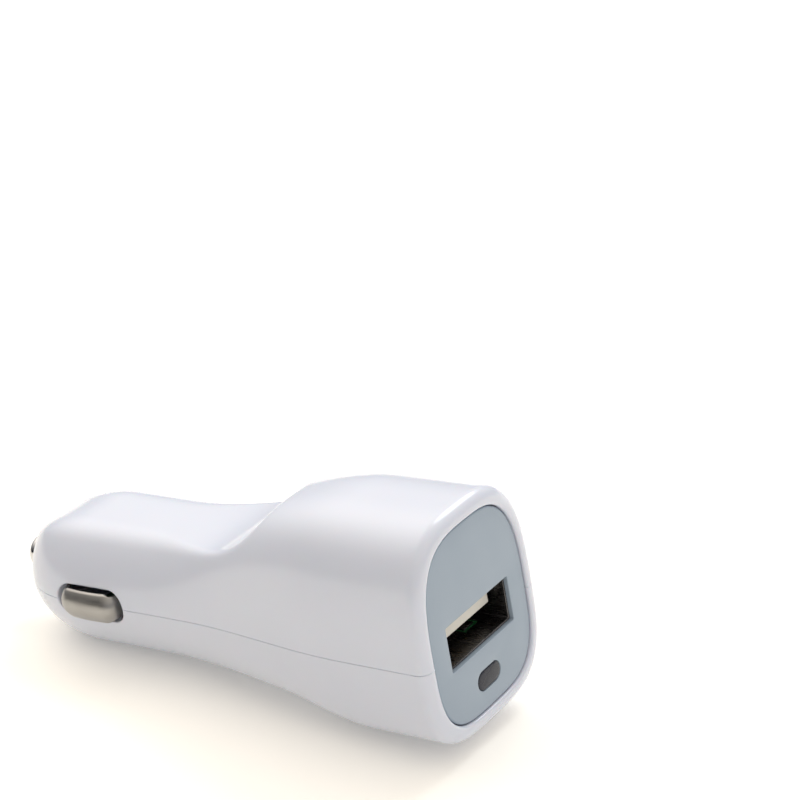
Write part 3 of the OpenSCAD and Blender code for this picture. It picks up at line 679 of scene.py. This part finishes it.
def tip_profile():
    """The tip as [radius, x], from its rounded end over the flange to the spigot in the spring."""
    r, edge_r, end_flat_r, chamfer = tip_d / 2, 0.9, 0.4, 0.1
    spigot_r, spigot_end_r, spigot_l, spigot_flat_r = 1.5, 1.2, 1.2, 0.3
    flange_r = flange_d / 2
    end = [(r - edge_r + edge_r * math.sin(t), -tip_out + edge_r - edge_r * math.cos(t))
           for t in np.linspace(0, math.pi / 2, 14)]
    flange = [(r, flange_x), (flange_r - chamfer, flange_x), (flange_r, flange_x + chamfer),
              (flange_r, spring_x - chamfer), (flange_r - chamfer, spring_x)]
    spigot = [(spigot_r, spring_x), (spigot_r, spring_x + spigot_l - spigot_r + spigot_end_r),
              (spigot_end_r, spring_x + spigot_l), (spigot_flat_r, spring_x + spigot_l)]
    return [(end_flat_r, -tip_out)] + end + flange + spigot


place_piece(lathe("chrome_tip", tip_profile(), chrome), "tip", "tip_contact")


# The side contacts, each a stamped leaf with a crowned bow
ACROSS = 25  # points over the leaf's height


def bow_line():
    """The leaf's middle line [x, y] on the +Y side, from its free end to its anchor."""
    out_y = plug_w / 2 + contact_out - contact_t / 2
    front_gap, back_gap = 0.95, 0.85  # from the slot's ends in to the bow's two flanks
    front, back = slot_x - slot_l / 2 + front_gap, slot_end - back_gap
    bend, stretch = 1.6, 1.2  # the bends' radius, and how much longer they are along the plug
    bend_in = 0.15  # where the bends start, in from each flank
    flat_in, bulge = 2.07, 0.12  # where the bow's flat part starts, and how far its middle bulges
    flank_y = anchor_y + 1.2  # where the flanks start
    line = [(front - 2.1, anchor_y + 0.15), (front - 0.7, anchor_y + 0.3), (front, flank_y)]
    turns = [math.radians(a) for a in range(10, 91, 10)]
    for t in turns:
        along = bend_in + bend * (1 - math.cos(t)) * stretch
        line.append((front + along, out_y - bend * (1 - math.sin(t))))
    for t in np.linspace(0.08, 0.92, 12):
        x = mix(front + flat_in, back - flat_in, t)
        line.append((x, out_y + bulge * math.sin(math.pi * t)))
    for t in reversed(turns):
        along = bend_in + bend * (1 - math.cos(t)) * stretch
        line.append((back - along, out_y - bend * (1 - math.sin(t))))
    line += [(back, flank_y), (back + 0.15, anchor_y + 0.6), (back + 0.9, anchor_y + 0.15)]
    return line + [(back + 1.8, anchor_y), (anchor_x + anchor_l, anchor_y)]


def leaf_reach(x):
    """Half the leaf's height at x: a stadium a little smaller than the slot, with two tails."""
    r = slot_h / 2 - slot_clear
    along = max(abs(x - slot_x) - (slot_l - slot_h) / 2, 0)
    return max(tail_h / 2, math.sqrt(max(0, r * r - along * along)))


def leaf_crown(x):
    """How far the leaf's edges drop behind its middle at x."""
    return contact_crown * (leaf_reach(x) - tail_h / 2) / (slot_h / 2 - slot_clear - tail_h / 2)


def side_contact(name, side, node, body):
    """A leaf from its smoothed middle line, as two skins and the border between them."""
    line = bow_line()
    fine = np.array([line[0]])
    for a, b in zip(line, line[1:]):
        fine = np.concatenate([fine, np.linspace(a, b, 4)[1:]])
    for _ in range(3):
        fine[1:-1] = (fine[:-2] + 2 * fine[1:-1] + fine[2:]) / 4
    along = np.gradient(fine, axis=0)
    normal = np.stack([-along[:, 1], along[:, 0]], 1) / np.hypot(*along.T)[:, None]
    points = []
    for layer in (0.5, -0.5):
        for p, n in zip(fine, normal):
            reach, crown = leaf_reach(p[0]), leaf_crown(p[0])
            for t in np.linspace(-1, 1, ACROSS):
                x, y = p + n * (layer * contact_t - crown * t * t)
                points.append((x, side * y, t * reach))
    count = len(fine)
    base = count * ACROSS
    faces = grid_faces(0, count, ACROSS) + grid_faces(base, count, ACROSS)
    border = list(range(ACROSS)) + [i * ACROSS + ACROSS - 1 for i in range(1, count)]
    border += [(count - 1) * ACROSS + k for k in range(ACROSS - 2, -1, -1)]
    border += [i * ACROSS for i in range(count - 2, 0, -1)]
    faces += [(a, b, b + base, a + base) for a, b in zip(border, border[1:] + border[:1])]
    piece = new_piece(name, points, faces, nickel, 60)
    place_piece(piece, body, node)
    add_foot(piece, side)


def add_foot(piece, side):
    """The contact's foot: a strip that comes down beside the board, and its tab on the board."""
    foot_l, tab_reach = 2.6, 1
    inner_y, outer_y = anchor_y - contact_t / 2, anchor_y + contact_t / 2
    tab_y = board_front_w / 2 - tab_reach
    outline = [(outer_y, board_top), (outer_y, 0), (inner_y, 0), (inner_y, board_top + contact_t),
               (tab_y, board_top + contact_t), (tab_y, board_top)]
    count = len(outline)
    foot_end = anchor_x + anchor_l
    points = [(x, side * y, z) for x in (foot_end - foot_l, foot_end) for y, z in outline]
    faces = wall_between(0, count, count) + [range(count), range(count, 2 * count)]
    bm = bmesh.new()
    bm.from_mesh(piece.data)
    verts = [bm.verts.new([c * MM for c in p]) for p in points]
    made = [bm.faces.new([verts[i] for i in f]) for f in faces]
    edges = list({e for f in made for e in f.edges})
    bmesh.ops.bevel(bm, geom=edges, offset=foot_edge_r * MM, segments=2, profile=0.5,
                    affect="EDGES")
    bm.to_mesh(piece.data)
    bm.free()
    finish_mesh(piece.data, 60)


side_contact("left_leaf", 1, "side_contact_left", "left_contact")
side_contact("right_leaf", -1, "side_contact_right", "right_contact")

# Pieces inside, which keep their solids
INSIDE = {
    "tip_spring": spring_wire, "tip_terminal": nickel, "circuit_board": green_mask,
    "input_capacitor": aluminium, "output_capacitor": aluminium, "inductor_core": ferrite,
    "inductor_winding": copper, "converter_chip": black_plastic, "flyback_diode": black_plastic,
    "indicator_light": clear_epoxy, "light_resistor": black_plastic,
    "feedback_resistor_1": black_plastic, "feedback_resistor_2": black_plastic,
    "boost_capacitor": ceramic, "input_filter_capacitor": ceramic,
}
for node, material in INSIDE.items():
    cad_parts[node].data.materials.clear()
    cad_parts[node].data.materials.append(material)

# The camera: the photograph's view, worked out in the part's own frame. The lens, the camera's
# height and slant and the part's place on the table were fitted to the photograph's outlines.
camera_data = bpy.data.cameras.new("view")
camera = bpy.data.objects.new("view", camera_data)
scene.collection.objects.link(camera)
scene.camera = camera
picture_px = 800
focal_px = 2138.7
view_pitch, view_roll = math.radians(22.431), math.radians(-4.36)
camera_height = 132.01
part_turn, part_tilt, part_roll = math.radians(-36.268), math.radians(-4.919), math.radians(2.652)
part_at = (-46.297, 255.456, 8.241)
turned = Matrix.Rotation(part_turn, 4, "Z")
turned = turned @ Matrix.Rotation(part_tilt, 4, "Y") @ Matrix.Rotation(part_roll, 4, "X")
part_place = Matrix.Translation([c * MM for c in part_at]) @ turned
ahead = Vector((0, math.cos(view_pitch), -math.sin(view_pitch)))
right = Vector((1, 0, 0))
down = ahead.cross(right)
rolled_right = math.cos(view_roll) * right - math.sin(view_roll) * down
rolled_down = math.sin(view_roll) * right + math.cos(view_roll) * down
looking = Matrix((rolled_right, -rolled_down, -ahead)).transposed().to_4x4()
camera_lift = Matrix.Translation((0, 0, camera_height * MM))
camera.matrix_world = part_place.inverted() @ camera_lift @ looking
camera_data.sensor_fit = "HORIZONTAL"
camera_data.sensor_width = 36
camera_data.lens = focal_px / picture_px * camera_data.sensor_width
camera_data.clip_start = 0.01
camera_data.clip_end = 20

# The stage: a pale table, a dim room with a bright ceiling, brighter at the back on the left and
# darker in front on the left, and a soft key light from behind on the right. Directions are in
# the table's frame.
floor_place = part_place.inverted()
up_in_part = floor_place.to_3x3() @ Vector((0, 0, 1))
table_reach = 6
floor_colour, floor_drift, floor_drift_scale = (0.93, 0.91, 0.86), 0.995, 40
floor_grain, floor_grain_depth = 2500, 4e-6
glow_colour, floor_glow = (1, 0.97, 0.92, 1), 0.17
backdrop = (0.99, 1.0, 0.96)
room_wall, room_ceiling = (0.26, 0.28, 0.34), (1.12, 1.05, 0.96)
room_low, room_high = 0.0, 0.8
dark_side, dark_start, dark_share = (-1.0, -0.25, -0.15), 0.0, 0.05
bright_side, bright_start, bright_share = (-0.65, 0.45, 0.6), 0.55, 2.7
key_direction, key_distance, key_size = (0.55, 0.75, 1.1), 0.6, 0.3
key_watts, key_colour = 1.2, (0.88, 0.95, 1.0)
part_middle = 0.033  # where the key light aims, along the plug's axis


def make_floor():
    mesh = bpy.data.meshes.new("table")
    corners = [(-table_reach, -table_reach, 0), (table_reach, -table_reach, 0),
               (table_reach, table_reach, 0), (-table_reach, table_reach, 0)]
    mesh.from_pydata(corners, [], [(0, 1, 2, 3)])
    table = bpy.data.objects.new("table", mesh)
    scene.collection.objects.link(table)
    table.matrix_world = floor_place
    material, tree, shader = new_material("table_paper")
    where = object_coordinates(tree)
    tone = spread_value(tree, noise(tree, where, floor_drift_scale), 0, 1)
    other = [c * floor_drift for c in floor_colour]
    tree.links.new(blend_colours(tree, tone, floor_colour, other), shader.inputs["Base Color"])
    shader.inputs["Roughness"].default_value = 0.7
    shader.inputs["Specular IOR Level"].default_value = 0.2
    shader.inputs["Emission Color"].default_value = glow_colour
    shader.inputs["Emission Strength"].default_value = floor_glow
    add_bump(tree, shader, noise(tree, where, floor_grain), floor_grain_depth)
    mesh.materials.append(material)


def toward_side(tree, place, side, start, low, high):
    """A value that goes from low to high as a direction in the room turns towards one side."""
    toward = add_node(tree, "ShaderNodeVectorMath", operation="DOT_PRODUCT")
    toward.inputs[1].default_value = floor_place.to_3x3() @ Vector(side).normalized()
    tree.links.new(place.outputs["Generated"], toward.inputs[0])
    shade = add_node(tree, "ShaderNodeMapRange")
    shade.inputs["From Min"].default_value = start
    shade.inputs["To Min"].default_value = low
    shade.inputs["To Max"].default_value = high
    tree.links.new(toward.outputs["Value"], shade.inputs["Value"])
    return shade.outputs["Result"]


def make_world():
    world = bpy.data.worlds.new("room")
    scene.world = world
    world.use_nodes = True
    tree = world.node_tree
    tree.nodes.clear()
    place = add_node(tree, "ShaderNodeTexCoord")
    height = add_node(tree, "ShaderNodeVectorMath", operation="DOT_PRODUCT")
    height.inputs[1].default_value = up_in_part
    tree.links.new(place.outputs["Generated"], height.inputs[0])
    share = add_node(tree, "ShaderNodeMapRange")
    share.interpolation_type = "SMOOTHSTEP"
    share.inputs["From Min"].default_value = room_low
    share.inputs["From Max"].default_value = room_high
    tree.links.new(height.outputs["Value"], share.inputs["Value"])
    room = add_node(tree, "ShaderNodeBackground")
    colour = blend_colours(tree, share.outputs["Result"], room_wall, room_ceiling)
    tree.links.new(colour, room.inputs["Color"])
    both_sides = add_node(tree, "ShaderNodeMath", operation="MULTIPLY")
    dark = toward_side(tree, place, dark_side, dark_start, 1.0, dark_share)
    bright = toward_side(tree, place, bright_side, bright_start, 1.0, bright_share)
    tree.links.new(dark, both_sides.inputs[0])
    tree.links.new(bright, both_sides.inputs[1])
    tree.links.new(both_sides.outputs[0], room.inputs["Strength"])
    pale = add_node(tree, "ShaderNodeBackground")
    pale.inputs["Color"].default_value = (*backdrop, 1)
    path = add_node(tree, "ShaderNodeLightPath")
    both = add_node(tree, "ShaderNodeMixShader")
    tree.links.new(path.outputs["Is Camera Ray"], both.inputs[0])
    tree.links.new(room.outputs[0], both.inputs[1])
    tree.links.new(pale.outputs[0], both.inputs[2])
    out = add_node(tree, "ShaderNodeOutputWorld")
    tree.links.new(both.outputs[0], out.inputs["Surface"])


def area_light(name, direction, distance, size, watts, colour):
    """A round lamp in the room, at a direction from the part, given in the table's frame."""
    data = bpy.data.lights.new(name, "AREA")
    data.shape = "DISK"
    data.size = size
    data.energy = watts
    data.color = colour
    lamp = bpy.data.objects.new(name, data)
    scene.collection.objects.link(lamp)
    middle = part_place @ Vector((part_middle, 0, 0))
    aim = Vector(direction).normalized()
    turn = aim.to_track_quat("Z", "Y").to_matrix().to_4x4()
    lamp.matrix_world = floor_place @ Matrix.Translation(middle + aim * distance) @ turn


make_floor()
make_world()
area_light("key", key_direction, key_distance, key_size, key_watts, key_colour)
scene.view_settings.view_transform = "Standard"
